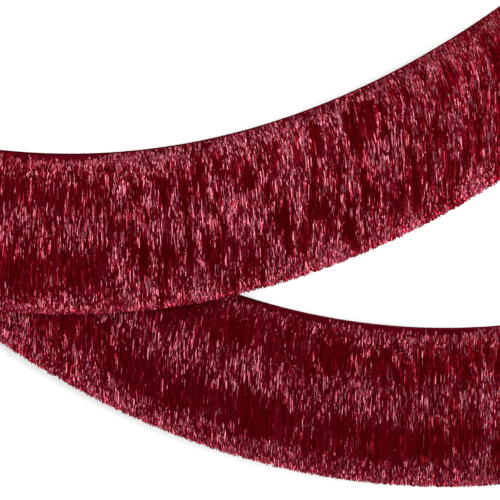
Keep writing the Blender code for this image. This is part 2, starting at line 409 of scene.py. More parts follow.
# how the loose strands differ: lengths in metres, and waves of noise to the metre
habit = {
    "rowLimit": 64,             # more than the rows of a strand, so that no two share their luck
    "strayPower": 20.0,         # the higher, the fewer strands stray across the heading
    "overCord": -0.0009,        # where such a strand starts
    "rootWaves": 25, "rootWander": 0.0012, "rootScatter": 0.0015,
    "nickWaves": 340, "notchWaves": 130, "rowScatter": 0.42, "rayReach": 0.02,
    "driftWaves": 9, "drift": 0.016, "ruffleWaves": 70, "ruffle": 0.012, "steepDrop": 0.03,
    "settling": 0.012,          # below the heading, where a strand finds its place in the fringe
    "onHeading": 0.0018, "uneven": 0.0004, "clearance": 0.0002, "loft": 0.0008,
    "crownLoft": 0.0010, "crownDepth": 0.0045, "swell": 0.0005, "leastOffset": 0.0002,
    "tipStart": 0.84, "tipShare": 0.16, "pullGrowth": 12,
}

# sleek zones down the fringe: the middle of each and its reach
zones = {"top": (0.012, 0.034), "waist": (0.090, 0.044), "tips": (0.196, 0.044)}

# patterns of noise: waves to the metre along, a shift, waves down, a step between the sides, a
# plane of its own, and detail
patterns = {
    "patch": (26, 0, 16, 3, 8, 2.0),
    "tuft": (110, 0, 14, 3, 18, 1.0),
    "broad": (78, 0, 14, 3, 28, 1.0),
    "turn": (90, 40, 30, 5, 0, 2.0),
    "pull": (120, 80, 9, 7, 0, 1.0),
    "clump": (125, 20, 26, 9, 0, 1.0),
    "swell": (140, 0, 45, 3, 0, 1.0),
    "lock": (170, 0, 10, 3, 50, 1.0),
    "thread": (430, 0, 14, 3, 60, 1.0),
}


def patternAt(name, plan, depth, side):
    along, shift, down, sideStep, plane, detail = patterns[name]
    return noise(plan.tree, plan * along + shift, depth * down, side * sideStep + plane, detail)


def zoneAt(depth, zone):
    # one in the middle of a zone, nothing past its reach
    middle, reach = zones[zone]
    away = (depth - middle).math("ABSOLUTE") / reach
    return 1 - away.smooth(0.25, 1.0)


def strandTree():
    # loose strands of foil: each leaves the heading, bends to plumb and is crimped all the way down
    tree, guide, given, leave = newTree("looseStrands", [
        ("Strands", "Int", 100), ("Rows", "Int", 12), ("Length", "Float", 0.19),
        ("Start", "Float", 0.005), ("Heading", "Float", 0.0085), ("Fall", "Float", 0.05),
        ("Width", "Float", 0.0012), ("Layer", "Float", 0.0044),
        ("Inner Shell", "Float", 0.0), ("Outer Shell", "Float", 1.0),
        ("Crimp", "Float", 0.001), ("Twist", "Float", 1.0), ("Wander", "Float", 0.001),
        ("Flare", "Float", 0.003), ("Ragged", "Float", 0.004), ("Nick", "Float", 0.002),
        ("Seed", "Int", 1), ("Front Solid", "Object", None), ("Back Solid", "Object", None),
        ("Film", "Material", None)])
    seed = given["Seed"]
    geometry = scattered(tree, guide, given["Strands"], seed, strip(tree, given["Rows"]))

    strand, down, edge = (named(tree, name) for name in ("strand", "down", "edge"))
    lean, loose, steep = (named(tree, name) for name in ("lean", "loose", "steep"))
    root, outward = (named(tree, name, "FLOAT_VECTOR") for name in ("root", "outward"))
    plan = planAt(tree, root)
    row = (down * given["Rows"]).math("ROUND")
    spot = strand * habit["rowLimit"] + row
    side = strand.math("MODULO", 2.0) * 2 - 1

    # where a strand starts and ends
    stray = luck(tree, 0.0, 1.0, strand, seed + 22).power(habit["strayPower"])
    over = (loose * luck(tree, -0.3, 1.4, strand, seed + 2).smooth(0, 1)).atLeast(stray)
    start = given["Start"] + noise(tree, plan * habit["rootWaves"], side, 0.0, 2.0) * habit["rootWander"]
    start = start + luck(tree, 0.0, habit["rootScatter"], strand, seed + 21)
    first = start.blendTo(habit["overCord"], over)
    nick = noise(tree, plan * habit["nickWaves"], 30.0, 0.0)
    nick = nick + noise(tree, plan * habit["notchWaves"], 40.0, 0.0) * 0.6
    short = luck(tree, 0.0, 1.0, strand, seed + 3).power(2.2) * given["Ragged"]
    short = short + nick.within() * given["Nick"]

    # rows lie closer together at the heading and at the tips
    inside = (down * (1 - down) * 12).within()
    scatter = luck(tree, -habit["rowScatter"], habit["rowScatter"], spot, seed + 4)
    share = (down + scatter / given["Rows"] * inside).within()
    share = share.blendTo(share * share * (3 - 2 * share), 0.55)
    depth = first + (given["Length"] - short - first) * share

    # the lean fades as the strand bends to plumb: its way sideways and down, as short series
    straight = depth.atMost(given["Heading"])
    free = (depth - given["Heading"]).atLeast(0)
    fall = given["Fall"]
    easing = (-free / fall).exp()
    cube, square = lean * lean * lean, lean * lean
    level = straight * lean.sin() + fall * (lean * (1 - easing) - cube / 18 * (1 - easing.power(3.0)))
    drop = straight * lean.cos() + free - square / 4 * fall * (1 - easing.power(2.0))
    drop = drop + square * square / 96 * fall * (1 - easing.power(4.0))

    # the locks of the solid carry the strands
    middle = summed(tree, root, vector(tree, level, 0.0, -drop))
    outside = scaled(tree, outward, side)
    solids = tree.nodes.new("GeometryNodeJoinGeometry")
    for label in ("Front Solid", "Back Solid"):
        info = addNode(tree, "GeometryNodeObjectInfo", {"Object": given[label]}, transform_space="RELATIVE")
        tree.links.new(info.outputs["Geometry"], solids.inputs[0])
    reach = habit["rayReach"]
    ray = addNode(tree, "GeometryNodeRaycast", {
        "Target Geometry": solids.outputs[0], "Ray Length": reach,
        "Source Position": summed(tree, middle, scaled(tree, outside, reach)),
        "Ray Direction": scaled(tree, outside, -1.0)})
    hit = Field(tree, ray.outputs["Is Hit"])
    surface = (given["Layer"] * 0.7).blendTo(reach - Field(tree, ray.outputs["Hit Distance"]), hit)

    # zones: sleek where the strands lie parallel, sparkling where they are crimped
    drift = noise(tree, plan * habit["driftWaves"], side * 3, 0.0, 2.0) * habit["drift"]
    drift = drift + noise(tree, plan * habit["ruffleWaves"], side * 3, 4.0) * habit["ruffle"]
    bent = depth + drift + steep.smooth(0.45, 0.65) * habit["steepDrop"]
    sleek = 1 - steep.smooth(0.06, 0.25) * 0.6
    zone = (zoneAt(bent, "top") * sleek * 0.85).atLeast(zoneAt(bent, "waist") * 0.95)
    zone = zone.atLeast(zoneAt(bent, "tips")) * (0.34 - loose * 0.12) + 0.37 + loose * 0.16
    patch = patternAt("patch", plan, depth, side)
    tuft = patternAt("tuft", plan, depth, side)
    # where the header climbs, the strands lie in broad locks, one dull and the next satin: partly real crimp
    # and twist, partly a painted sheen added to the map below
    broad = patternAt("broad", plan, depth, side) * (0.1 + loose * 1.6)
    zone = (zone + patch * 0.24 + tuft * 0.18 + broad * 0.34).within()

    settle = (depth - given["Heading"]).smooth(0.0, habit["settling"])
    turn = patternAt("turn", plan, depth, side)
    pull = patternAt("pull", plan, depth, side)
    # clumps: locks of strands that really turn together, and also get a painted sheen on the map below
    clump = patternAt("clump", plan, depth, side).smooth(0.42 - loose * 0.14, 0.78) * settle
    swell = patternAt("swell", plan, depth, side)

    # how far a strand lies from the middle plane, on the heading and in its layer below it
    onHeading = habit["onHeading"] + habit["uneven"] * luck(tree, 0.0, 1.0, strand, seed + 5)
    onHeading = onHeading + habit["clearance"] + habit["loft"] * over * luck(tree, 0.0, 1.0, spot, seed + 20)
    onHeading = onHeading + habit["crownLoft"] * over * (1 - depth.smooth(0.0, habit["crownDepth"]))
    tip = ((depth / given["Length"] - habit["tipStart"]) / habit["tipShare"]).within()
    cut = (depth / given["Length"]).smooth(0.95, 0.985)
    flare = given["Flare"] * tip * tip * luck(tree, -0.3, 1.0, strand, seed + 6)
    liveliness = 0.1 + 0.82 * zone
    crimp = luck(tree, -1.0, 1.0, spot, seed + 7) * given["Crimp"] * liveliness
    deep = luck(tree, 0.0, 1.0, strand, seed + 1).power(0.5)
    shell = given["Inner Shell"].blendTo(given["Outer Shell"], deep)
    inLayer = surface * shell + swell * habit["swell"] * settle + crimp
    offset = (onHeading.blendTo(inLayer, settle) + flare).atLeast(habit["leastOffset"])

    wander = luck(tree, -1.0, 1.0, spot, seed + 8) * (0.3 + 0.7 * settle) * (0.4 + 0.6 * zone)
    aside = given["Wander"] * (wander + pull * depth * habit["pullGrowth"])
    aside = aside + luck(tree, -1.0, 1.0, strand, seed + 9) * tip * given["Flare"] * 0.8

    loosened = liveliness.blendTo(1.0, over * (1 - settle))
    loosened = loosened * (1 - clump * 0.65)
    bend = luck(tree, -1.0, 1.0, spot, seed + 10) * loosened
    twist = given["Twist"] * (bend + turn * 0.35 + clump * 0.5)
    halfWidth = given["Width"] * luck(tree, 0.4, 0.64, strand, seed + 11) * edge * (1 - tip * tip * 0.3)

    hang, across = hangAt(tree, outward, lean * easing)
    sideways = scaled(tree, across, aside + halfWidth * twist.cos())
    outwards = scaled(tree, outside, offset + halfWidth * twist.sin())
    geometry = moved(tree, geometry, summed(tree, middle, sideways, outwards))

    # the map: across it the film's random tone plus a painted highlight, paler where a facet turns from
    # facing out, along it one line for each strand
    geometry = stored(tree, geometry, "outside", "FLOAT_VECTOR", outside)
    normal = addNode(tree, "GeometryNodeInputNormal").outputs[0]
    geometry = stored(tree, geometry, "facing", "FLOAT_VECTOR", normal, "FACE")
    facing, outside = (named(tree, name, "FLOAT_VECTOR") for name in ("facing", "outside"))
    flat = Field(tree, vectorMath(tree, "DOT_PRODUCT", facing, outside, "Value")).math("ABSOLUTE")
    # painted glint: the more a facet turns from facing out, the paler its colour on the map
    paintedGlint = 1 - flat.smooth(0.87, 0.955)
    lock = patternAt("lock", plan, depth, side)
    lock = lock + patternAt("thread", plan, depth, side) * 0.5
    # painted highlight, pinker towards the tips, giving way to a plain mid tone at the cut ends
    sheen = (paintedGlint + tip * 0.12).atMost(1.0).blendTo(0.30, cut * 0.4)
    # random tone of the locks, plus painted sheen where strands turn together in clumps and broad locks
    toneAndPaintedSheen = (0.12 + lock * 0.11 + sheen * 0.71 + clump * 0.14 + broad * 0.16).within()
    line = ownLine(tree, strand, edge, seed)
    geometry = stored(tree, geometry, "OFBake", "FLOAT2", vector(tree, toneAndPaintedSheen, line, 0.0), "CORNER")
    finished(tree, geometry, given["Film"], leave, False)  # each crimp is a flat facet
    return tree


def fringeTree(strands):
    # a section of fringe: wide strips inside, crimped strands outside
    tree, guide, given, leave = newTree("fringeSection", [
        ("Strands", "Int", 100), ("Core Strips", "Int", 20), ("Seed", "Int", 1),
        ("Front Solid", "Object", None), ("Back Solid", "Object", None), ("Film", "Material", None)])
    join = tree.nodes.new("GeometryNodeJoinGeometry")
    for settings, count, shift in ((looseStrands, "Strands", 0), (coreStrips, "Core Strips", 50)):
        group = addNode(tree, "GeometryNodeGroup", node_tree=strands)
        plug(tree, guide, group.inputs["Guide"])
        plug(tree, given[count], group.inputs["Strands"])
        plug(tree, given["Seed"] + shift, group.inputs["Seed"])
        for label in ("Front Solid", "Back Solid", "Film"):
            plug(tree, given[label], group.inputs[label])
        for label, value in settings.items():
            group.inputs[label].default_value = value
        tree.links.new(group.outputs[0], join.inputs[0])
    finished(tree, join.outputs[0], given["Film"], leave, False)
    return tree


def foldedTree():
    # the middles of the strands, folded over the cord and sewn flat on both sides
    tree, guide, given, leave = newTree("foldedStrands", [
        ("Strands", "Int", 100), ("Rows", "Int", 12), ("Arch Radius", "Float", 0.0027),
        ("Side Offset", "Float", 0.0014), ("Pinch Depth", "Float", 0.0036), ("Depth", "Float", 0.009),
        ("Width", "Float", 0.0012), ("Lift", "Float", 0.0002), ("Slant", "Float", 0.1),
        ("Mottle", "Float", 230.0), ("Seed", "Int", 1), ("Film", "Material", None)])
    seed = given["Seed"]
    geometry = scattered(tree, guide, given["Strands"], seed, strip(tree, given["Rows"]))
    strand, down, edge, lean = (named(tree, name) for name in ("strand", "down", "edge", "lean"))
    root, outward = (named(tree, name, "FLOAT_VECTOR") for name in ("root", "outward"))
    radius = given["Arch Radius"]
    arch = radius * (math.pi / 2)
    reach = (down * 2 - 1) * (arch + given["Depth"])
    size = reach.math("ABSOLUTE")
    side = reach.math("SIGN")
    theta = size.atMost(arch) / radius
    below = (size - arch).atLeast(0)
    pinch = (below / given["Pinch Depth"]).smooth(0, 1)
    lift = luck(tree, 0.0, 1.0, strand, seed + 1) * given["Lift"]
    offset = (radius * theta.sin()).blendTo(given["Side Offset"], pinch) + lift
    depth = below - (radius + lift) * theta.cos()
    slant = luck(tree, -1.0, 1.0, strand, seed + 2) * given["Slant"]
    hang, across = hangAt(tree, outward, lean)
    halfWidth = given["Width"] * 0.5 * edge
    shingle = luck(tree, 0.05, 0.3, strand, seed + 3)
    position = summed(
        tree, root, scaled(tree, hang, depth),
        scaled(tree, across, halfWidth + slant * below),
        scaled(tree, outward, side * offset + side * halfWidth * shingle * theta.sin()))
    geometry = moved(tree, geometry, position)
    mottle = noise(tree, planAt(tree, root) * given["Mottle"], down * 3, 0.0)
    # darker towards the crown of the fold, paler down its sides, with random mottle
    fromCrown = (0.02 + (down * 2 - 1).math("ABSOLUTE") * (0.86 + mottle * 0.16)).within()
    line = ownLine(tree, strand, edge, seed)
    geometry = stored(tree, geometry, "OFBake", "FLOAT2", vector(tree, fromCrown, line, 0.0), "CORNER")
    finished(tree, geometry, given["Film"], leave)
    return tree


# a link of chain stitch: shares of its pitch, thread and width, its corners, and a wobble in metres
link = {"overlap": 1.3, "tilt": 0.8, "mouth": 1.05, "closing": 0.9, "sides": 10, "wobble": 0.0001}


def circle(tree, sides, radius):
    ring = addNode(tree, "GeometryNodeCurvePrimitiveCircle", {"Resolution": sides, "Radius": radius})
    return ring.outputs[0]


def stitchTree():
    # links of chain stitch in a row along the heading
    tree, guide, given, leave = newTree("chainStitch", [
        ("Links", "Int", 100), ("Pitch", "Float", 0.003), ("Width", "Float", 0.0009),
        ("Thread", "Float", 0.00013), ("Depth", "Float", 0.0072), ("Offset", "Float", 0.0017),
        ("Side", "Float", 1.0), ("Seed", "Int", 1), ("Thread Stuff", "Material", None)])
    x, y = parted(tree, here(tree))[:2]
    tall = y * given["Width"] * (link["mouth"] - x * link["closing"])
    path = moved(tree, circle(tree, link["sides"], 0.5), vector(
        tree, x * given["Pitch"] * link["overlap"], (x * 2) * given["Thread"] * link["tilt"], tall))
    thread = addNode(tree, "GeometryNodeCurveToMesh", {
        "Curve": path, "Profile Curve": circle(tree, 4, given["Thread"])}).outputs[0]
    thread = stored(tree, thread, "spot", "FLOAT_VECTOR", here(tree))
    geometry = scattered(tree, guide, given["Links"], given["Seed"], thread)
    strand, lean = named(tree, "strand"), named(tree, "lean")
    root, outward = (named(tree, name, "FLOAT_VECTOR") for name in ("root", "outward"))
    along, out, up = parted(tree, named(tree, "spot", "FLOAT_VECTOR"))
    hang, across = hangAt(tree, outward, lean)
    wobble = luck(tree, -1.0, 1.0, strand, given["Seed"] + 5) * link["wobble"]
    position = summed(
        tree, root, scaled(tree, hang, given["Depth"] + up + wobble), scaled(tree, across, along),
        scaled(tree, outward, given["Side"] * (given["Offset"] + out)))
    geometry = moved(tree, geometry, position)
    finished(tree, geometry, given["Thread Stuff"], leave)
    return tree


def resampled(tree, guide, step):
    curve = addNode(tree, "GeometryNodeMeshToCurve", {"Mesh": guide}).outputs[0]
    return addNode(
        tree, "GeometryNodeResampleCurve", {"Curve": curve, "Length": step}, mode="LENGTH").outputs[0]


def swept(tree, curve, radius, sides):
    tube = addNode(tree, "GeometryNodeCurveToMesh", {
        "Curve": curve, "Profile Curve": circle(tree, sides, radius), "Fill Caps": True})
    return tube.outputs[0]


def windings(tree):
    # how far a curve has run, and the two ways square to it
    run = Field(tree, addNode(tree, "GeometryNodeSplineParameter").outputs["Length"])
    outward = named(tree, "outward", "FLOAT_VECTOR")
    tangent = addNode(tree, "GeometryNodeInputTangent").outputs[0]
    return run, outward, vectorMath(tree, "CROSS_PRODUCT", tangent, outward)


def cordTree():
    # a cord laid up from plies that wind round its middle
    tree, guide, given, leave = newTree("twistedCord", [
        ("Plies", "Int", 3), ("Step", "Float", 0.001), ("Ply Radius", "Float", 0.00055),
        ("Lay", "Float", 0.00064), ("Pitch", "Float", 0.006), ("Sides", "Int", 6),
        ("Yarn", "Material", None)])
    curve = resampled(tree, guide, given["Step"])
    copies = addNode(tree, "GeometryNodeDuplicateElements", {"Amount": given["Plies"]}, domain="SPLINE")
    plug(tree, curve, copies.inputs["Geometry"])
    ply = Field(tree, copies.outputs["Duplicate Index"])
    run, outward, across = windings(tree)
    angle = (run / given["Pitch"] + ply / given["Plies"]) * (2 * math.pi)
    wound = moved(tree, copies.outputs["Geometry"], summed(
        tree, here(tree),
        scaled(tree, outward, given["Lay"] * angle.cos()),
        scaled(tree, across, given["Lay"] * angle.sin())))
    finished(tree, swept(tree, wound, given["Ply Radius"], given["Sides"]), given["Yarn"], leave)
    return tree


def coilTree():
    # thread wound tight round two cords that lie side by side
    tree, guide, given, leave = newTree("woundThread", [
        ("Step", "Float", 0.00003), ("Thread", "Float", 0.00025), ("Radius", "Float", 0.00185),
        ("Stretch", "Float", 0.00135), ("Pitch", "Float", 0.00048), ("Sides", "Int", 5),
        ("Yarn", "Material", None)])
    curve = resampled(tree, guide, given["Step"])
    run, outward, across = windings(tree)
    angle = run / given["Pitch"] * (2 * math.pi)
    shift = (angle.sin() * 2.5).atLeast(-1).atMost(1) * given["Stretch"]
    wound = moved(tree, curve, summed(
        tree, here(tree),
        scaled(tree, outward, given["Radius"] * angle.cos()),
        scaled(tree, across, given["Radius"] * angle.sin() + shift)))
    finished(tree, swept(tree, wound, given["Thread"], given["Sides"]), given["Yarn"], leave)
    return tree


# materials

def newMaterial(name):
    made = bpy.data.materials.new(name)
    made.use_nodes = True
    return made, made.node_tree, made.node_tree.nodes["Principled BSDF"]


def ramp(tree, share, stops):
    node = addNode(tree, "ShaderNodeValToRGB")
    plug(tree, share, node.inputs[0])
    bars = node.color_ramp.elements
    while len(bars) < len(stops):
        bars.new(0.5)
    for bar, (place, color) in zip(bars, stops):
        bar.position = place
        bar.color = (*color, 1)
    return node.outputs["Color"]


def grainOn(tree, where, scale, detail):
    node = addNode(tree, "ShaderNodeTexNoise", {"Vector": where, "Scale": scale, "Detail": detail})
    return node.outputs["Fac"]


def addBump(tree, shader, height, look):
    bump = addNode(tree, "ShaderNodeBump", {
        "Height": height, "Strength": look["bump"], "Distance": look["bumpHeight"]})
    plug(tree, bump.outputs[0], shader.inputs["Normal"])


def filmMaterial(name, look):
    # dyed metallised film, deep where it faces out; paler where it tips up, which is a painted highlight
    # read off the map; the folded film is darker towards its crown; no two strands alike
    made, tree, shader = newMaterial(name)
    sheet = addNode(tree, "ShaderNodeUVMap", uv_map="OFBake").outputs[0]
    lines = addNode(tree, "ShaderNodeMapping", {"Vector": sheet, "Scale": look["lines"]}).outputs[0]
    tone = grainOn(tree, lines, 1.0, 2.0)
    across = parted(tree, sheet)[0]
    # the map's tone, with the painted highlight of the loose strands in it
    mapToneAndPaintedSheen = across + (Field(tree, tone) - 0.5) * look["unevenness"]
    plug(tree, ramp(tree, mapToneAndPaintedSheen, look["tones"]), shader.inputs["Base Color"])
    rough = addNode(tree, "ShaderNodeMapRange", {
        "Value": tone, "From Min": 0.3, "From Max": 0.7,
        "To Min": look["rough"][0], "To Max": look["rough"][1]}).outputs[0]
    plug(tree, rough, shader.inputs["Roughness"])
    shader.inputs["Metallic"].default_value = 1
    shader.inputs["Specular Tint"].default_value = (*look["edge"], 1)
    shader.inputs["Coat Weight"].default_value = look["coat"]
    shader.inputs["Coat Roughness"].default_value = look["coatRough"]
    return made


def threadMaterial(name, look):
    made, tree, shader = newMaterial(name)
    spot = addNode(tree, "ShaderNodeTexCoord").outputs["Object"]
    grain = grainOn(tree, spot, look["grain"], 3.0)
    plug(tree, ramp(tree, grain, look["tones"]), shader.inputs["Base Color"])
    addBump(tree, shader, grain, look)
    shader.inputs["Roughness"].default_value = look["rough"]
    shader.inputs["Sheen Weight"].default_value = look["sheen"]
    return made


def pressedMaterial(name, look):
    # the tight bundle of film inside the heading
    made, tree, shader = newMaterial(name)
    spot = addNode(tree, "ShaderNodeTexCoord").outputs["Object"]
    drawn = addNode(tree, "ShaderNodeMapping", {"Vector": spot, "Scale": look["lines"]}).outputs[0]
    tone = grainOn(tree, drawn, 1.0, 2.0)
    plug(tree, ramp(tree, tone, look["tones"]), shader.inputs["Base Color"])
    addBump(tree, shader, tone, look)
    shader.inputs["Metallic"].default_value = 1
    shader.inputs["Roughness"].default_value = look["rough"]
    shader.inputs["Specular Tint"].default_value = (*look["edge"], 1)
    return made


# the deep stops are the film's own crimson; the pink and pale stops are the painted highlight's colours
looseFilm = filmMaterial("looseFoil", {
    "lines": (2.5, 90, 1), "unevenness": 0.9,
    "tones": ((0.0, (0.125, 0.0002, 0.001)), (0.2, (0.235, 0.0006, 0.010)), (0.4, (0.36, 0.012, 0.036)),
              (0.62, (0.50, 0.064, 0.108)), (0.95, (0.61, 0.19, 0.25))),
    "edge": (1, 0.35, 0.45), "rough": (0.24, 0.38), "coat": 0.05, "coatRough": 0.14})
foldedFilm = filmMaterial("foldedFoil", {
    "lines": (3, 90, 1), "unevenness": 0.45,
    "tones": ((0.0, (0.04, 0.0003, 0.003)), (0.25, (0.075, 0.0005, 0.005)),
              (0.45, (0.19, 0.001, 0.009)), (1.0, (0.27, 0.002, 0.02))),
    "edge": (1, 0.35, 0.45), "rough": (0.32, 0.45), "coat": 0.04, "coatRough": 0.25})
pressedFilm = pressedMaterial("pressedFoil", {
    "lines": (900, 900, 60), "tones": ((0.3, (0.03, 0.0002, 0.002)), (0.7, (0.14, 0.001, 0.008))),
    "edge": (1, 0.35, 0.45), "rough": 0.42, "bump": 0.4, "bumpHeight": 0.0002})
yarn = threadMaterial("cordYarn", {
    "grain": 2600, "tones": ((0.3, (0.035, 0.003, 0.006)), (0.7, (0.09, 0.008, 0.016))),
    "rough": 0.78, "sheen": 0.3, "bump": 0.35, "bumpHeight": 0.0002})
sewing = threadMaterial("sewingThread", {
    "grain": 5200, "tones": ((0.3, (0.05, 0.001, 0.004)), (0.7, (0.11, 0.004, 0.012))),
    "rough": 0.6, "sheen": 0, "bump": 0.35, "bumpHeight": 0.0002})
wound = threadMaterial("whippingThread", {
    "grain": 3900, "tones": ((0.3, (0.05, 0.004, 0.008)), (0.7, (0.12, 0.01, 0.02))),
    "rough": 0.66, "sheen": 0.2, "bump": 0.35, "bumpHeight": 0.0002})


# pieces

def guideMesh(name, path, first, last):
    # the header's line, with what the trees need to know at each of its points
    count = max(round((last - first) / banner["guideStep"]), 8)
    runs = [first + (last - first) * number / count for number in range(count + 1)]
    mesh = bpy.data.meshes.new(name)
    mesh.from_pydata([path.middle(run) for run in runs], [(n, n + 1) for n in range(count)], [])
    mesh.attributes.new("outward", "FLOAT_VECTOR", "POINT").data.foreach_set(
        "vector", [value for run in runs for value in path.outward(run)])
    for label, way in (("lean", path.lean), ("loose", path.loose), ("steep", path.steep)):
        mesh.attributes.new(label, "FLOAT", "POINT").data.foreach_set("value", [way(run) for run in runs])
    return mesh


def growOn(name, guide, tree, values):
    # runs a tree over a guide and returns a plain mesh object
    holder = bpy.data.objects.new(name + "Guide", guide)
    bpy.context.scene.collection.objects.link(holder)
    modifier = holder.modifiers.new("grow", "NODES")
    modifier.node_group = tree
    labels = {item.name: item.identifier for item in tree.interface.items_tree if item.in_out == "INPUT"}
    for label, value in values.items():
        modifier[labels[label]] = value
    graph = bpy.context.evaluated_depsgraph_get()
    mesh = bpy.data.meshes.new_from_object(
        holder.evaluated_get(graph), preserve_all_data_layers=True, depsgraph=graph)
    mesh.name = name
    # only the map and the material's number are kept of what the tree stored
    spare = [layer.name for layer in mesh.attributes if not layer.is_internal and not layer.is_required]
    for label in spare:
        if label not in ("OFBake", "material_index"):
            mesh.attributes.remove(mesh.attributes[label])
    bpy.data.objects.remove(holder)
    made = bpy.data.objects.new(name, mesh)
    bpy.context.scene.collection.objects.link(made)
    return made


section = {
    "strands": 1450, "coreStrips": 150, "coreShort": 0.008,
    "overlap": 0.0008,      # of neighbouring sections
    "foldShare": 0.32,      # of a section's strands, round the fold
    "blendFrom": 0.0065, "blendTo": 0.020,
    "seedStep": 100,
}
looseStrands = {
    "Rows": 30, "Length": banner["strandLength"], "Start": 0.0062,
    "Heading": banner["headingDepth"], "Fall": banner["fallLength"],
    "Width": 0.00112, "Layer": 0.0044, "Inner Shell": 0.3, "Outer Shell": 1.0,
    "Crimp": 0.0011, "Twist": 1.08, "Wander": 0.0010, "Flare": 0.004, "Ragged": 0.010, "Nick": 0.0105,
}
# a known fault: at the swings' limits these wide strips stand out below the heading
coreStrips = {
    "Rows": 6, "Length": banner["strandLength"] - section["coreShort"], "Start": 0.006,
    "Heading": banner["headingDepth"], "Fall": banner["fallLength"],
    "Width": 0.0045, "Layer": 0.0044, "Inner Shell": 0.06, "Outer Shell": 0.25,
    "Crimp": 0.0003, "Twist": 0.2, "Wander": 0.0006, "Flare": 0.001, "Ragged": 0.012, "Nick": 0.0,
}
strandNodes = strandTree()
fringeNodes = fringeTree(strandNodes)


def addFringe(body, solids, path, first, last, share, seed):
    guide = guideMesh(body, path, first - section["overlap"], last + section["overlap"])
    front, back = (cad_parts[body + solid] for solid in solids)
    made = growOn("strands_" + body.removeprefix("fringe_"), guide, fringeNodes, {
        "Strands": round(section["strands"] * share),
        "Core Strips": round(section["coreStrips"] * share),
        "Seed": seed, "Film": looseFilm, "Front Solid": front, "Back Solid": back})
    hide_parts(front.name, back.name)
    halfway = (first + last) / 2
    middle = path.middle(halfway)
    lean = path.lean(halfway) if path is fold else math.atan(path.slope(halfway))
    hang = Vector((math.sin(lean), 0, -math.cos(lean)))
    top, bottom = middle + hang * section["blendFrom"], middle + hang * section["blendTo"]
    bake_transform(made, "header", body, start=top, end=bottom)


seed = 1
for tierName in ("upper", "lower"):
    tier = paths[tierName]
    pitch = tier.length / banner["sections"]
    for number in range(banner["sections"]):
        body = f"fringe_{tierName}_{number + 1}"
        first, last = pitch * number, pitch * (number + 1)
        addFringe(body, ("_front", "_back"), tier, first, last, 1, seed * section["seedStep"])
        seed += 1
addFringe("fringe_fold", ("_outer", "_inner"), fold, 0, fold.length,
          section["foldShare"], seed * section["seedStep"])
print("loose strands grown")

foldedNodes, stitchNodes = foldedTree(), stitchTree()
foldedStrands = {
    "Rows": 12, "Arch Radius": 0.0027, "Side Offset": 0.0013, "Pinch Depth": 0.0036,
    "Depth": 0.0070, "Width": 0.00125, "Lift": 0.00022, "Slant": 0.06, "Mottle": 230.0,
}
chainStitch = {"Pitch": 0.0026, "Width": 0.00095, "Thread": 0.00014, "Depth": 0.0072, "Offset": 0.0017}
heading = {"strandsPerMetre": 1500, "stitchMargin": 0.001}

for where, path in paths.items():
    made = growOn("folded_" + where, guideMesh("folded", path, 0, path.length), foldedNodes, {
        **foldedStrands, "Strands": round(heading["strandsPerMetre"] * path.length),
        "Seed": seed * section["seedStep"], "Film": foldedFilm})
    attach(made, "header")
    seed += 1
    sides = ("inner", "outer") if where == "fold" else ("front", "back")
    first, last = heading["stitchMargin"], path.length - heading["stitchMargin"]
    for side, sideName in zip((-1, 1), sides):
        made = growOn(f"chain_{where}_{sideName}", guideMesh("chain", path, first, last), stitchNodes, {
            **chainStitch, "Links": round(path.length / chainStitch["Pitch"]), "Side": side,
            "Seed": seed * section["seedStep"], "Thread Stuff": sewing})
        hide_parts(f"stitching_{where}_{sideName}")
        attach(made, "header")
        seed += 1
print("heading folded and sewn")

cord = {"Plies": 3, "Step": 0.0009, "Ply Radius": 0.00056, "Lay": 0.00064, "Pitch": 0.0062, "Sides": 6}
loop = {
    "radius": 0.0012, "gap": 0.0003, "tail": 0.005, "length": 0.022, "width": 0.0095,
    "taper": 1.5, "steps": 40, "twistStep": 0.0006,
}
whipping = {"start": 0.001, "length": 0.009}
coil = {
    "Step": 0.00003, "Thread": 0.00025, "Radius": 0.00185, "Stretch": 0.00135,
    "Pitch": 0.00048, "Sides": 5,
}
legsApart = 2 * loop["radius"] + loop["gap"]


def lineMesh(name, points, directions):
    mesh = bpy.data.meshes.new(name)
    mesh.from_pydata(points, [(n, n + 1) for n in range(len(points) - 1)], [])
    mesh.attributes.new("outward", "FLOAT_VECTOR", "POINT").data.foreach_set(
        "vector", [value for direction in directions for value in direction])
    return mesh


def headerLine():
    # from the far end of the upper tier, round the fold, to the far end of the lower one
    runs = {}
    for where, path in paths.items():
        count = round(path.length / banner["cordStep"])
        runs[where] = [path.length * n / count for n in range(count + 1)]
    points = [pastEnd(upper, loop["tail"], 0)] + [upper.middle(run) for run in reversed(runs["upper"])]
    directions = [Vector((0, -1, 0))] * len(points)
    points += [fold.middle(run) for run in runs["fold"][1:-1]]
    directions += [fold.outward(run) for run in runs["fold"][1:-1]]
    points += [lower.middle(run) for run in runs["lower"]] + [pastEnd(lower, loop["tail"], 0)]
    directions += [Vector((0, 1, 0))] * (len(points) - len(directions))
    return lineMesh("headerLine", points, directions)


def loopLine(tier):
    # a teardrop whose two legs lie side by side in the whipping
    mouth = whipping["start"] + whipping["length"]
    side = []
    for number in range(loop["steps"] + 1):
        angle = math.pi * number / loop["steps"]
        along = mouth + loop["length"] * (1 - math.cos(angle)) / 2
        half = legsApart / 2 * math.cos(angle / 2) ** 2
        half += loop["width"] * math.sin(angle) * math.sin(angle / 2) ** loop["taper"]
        side.append((along, half))
    outline = [(loop["tail"] + loop["gap"], legsApart / 2)] + side
    outline += [(along, -half) for along, half in reversed(side[:-1])]
    outline += [(whipping["start"] + loop["gap"], -legsApart / 2)]
    points = [pastEnd(tier, along, legsApart / 2 - up) for along, up in outline]
    return lineMesh("loopLine", points, [Vector((0, 1, 0))] * len(points))


def addCord(name, guide, tree, values, node):
    made = growOn(name, guide, tree, values)
    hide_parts(node)
    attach(made, "header")


